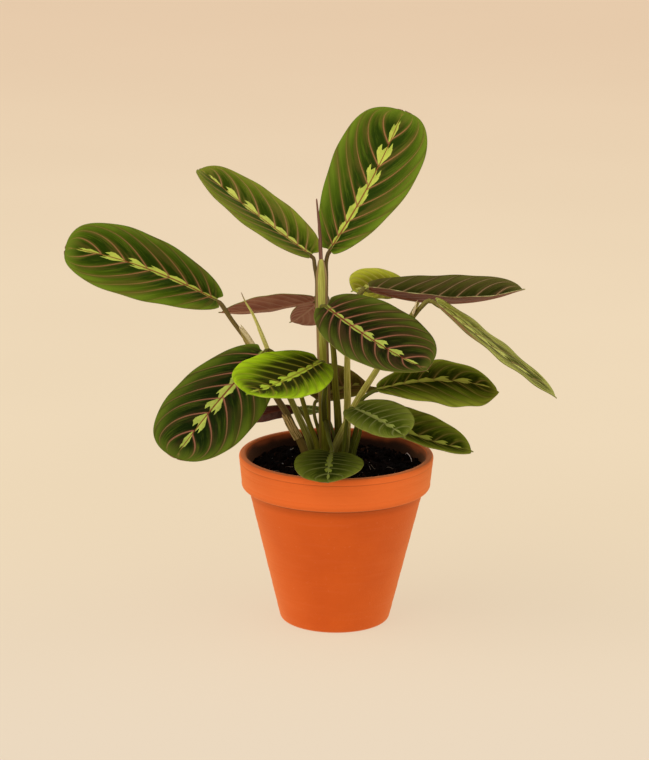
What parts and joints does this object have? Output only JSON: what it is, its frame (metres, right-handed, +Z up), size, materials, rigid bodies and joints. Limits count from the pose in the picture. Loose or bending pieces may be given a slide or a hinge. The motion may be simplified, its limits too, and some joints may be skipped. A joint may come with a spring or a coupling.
{
  "type": "potted prayer plant",
  "caption": "Prayer plant with upright shoots and oval herringbone-patterned leaves, growing in soil in a terracotta flower pot.",
  "frame": {"origin": "on the floor, under the middle of the whole plant's extent in X and Y", "axes": "+Z up, +X to the viewer's right and +Y away from the viewer; the pot's axis is parallel to Z"},
  "size_m": [0.3272, 0.185, 0.3428],
  "materials": {
    "terracotta": "matte",
    "soil": "matte",
    "stem": "satin",
    "young_stem": "satin",
    "mature_leaf": "satin",
    "young_leaf": "satin",
    "small_leaf": "satin",
    "rolled_leaf": "satin",
    "dry_sheath": "matte"
  },
  "bodies": {
    "root": {"pot": "terracotta", "soil": "soil", "leaf_far_left": "mature_leaf", "leaf_upper_left": "mature_leaf", "leaf_top": "mature_leaf", "leaf_lower_left": "mature_leaf", "leaf_young_bright": "young_leaf", "leaf_centre_dark": "mature_leaf", "leaf_right_flat": "mature_leaf", "leaf_right_drooping": "mature_leaf", "leaf_mid_right": "mature_leaf", "leaf_low_right": "mature_leaf", "leaf_small_right": "small_leaf", "leaf_small_front": "small_leaf", "leaf_back_left": "mature_leaf", "leaf_back_drooping": "mature_leaf", "leaf_young_back": "young_leaf", "leaf_low_back_left": "mature_leaf", "leaf_low_back_right": "mature_leaf", "leaf_small_back": "small_leaf", "shoot_main": "stem", "shoot_centre": "stem", "shoot_right_flat": "stem", "shoot_right": "stem", "shoot_far_left": "stem", "shoot_left": "stem", "petiole_lower_left": "stem", "petiole_small_right": "stem", "petiole_mid_right": "stem", "petiole_low_right": "stem", "petiole_low_back_left": "stem", "petiole_low_back_right": "stem", "petiole_small_back": "stem", "rolled_leaf_top": "rolled_leaf", "rolled_leaf_left": "young_stem", "dry_sheath_far_left": "dry_sheath", "dry_sheath_low_left": "dry_sheath", "dry_sheath_right": "dry_sheath"}
  },
  "joints": []
}
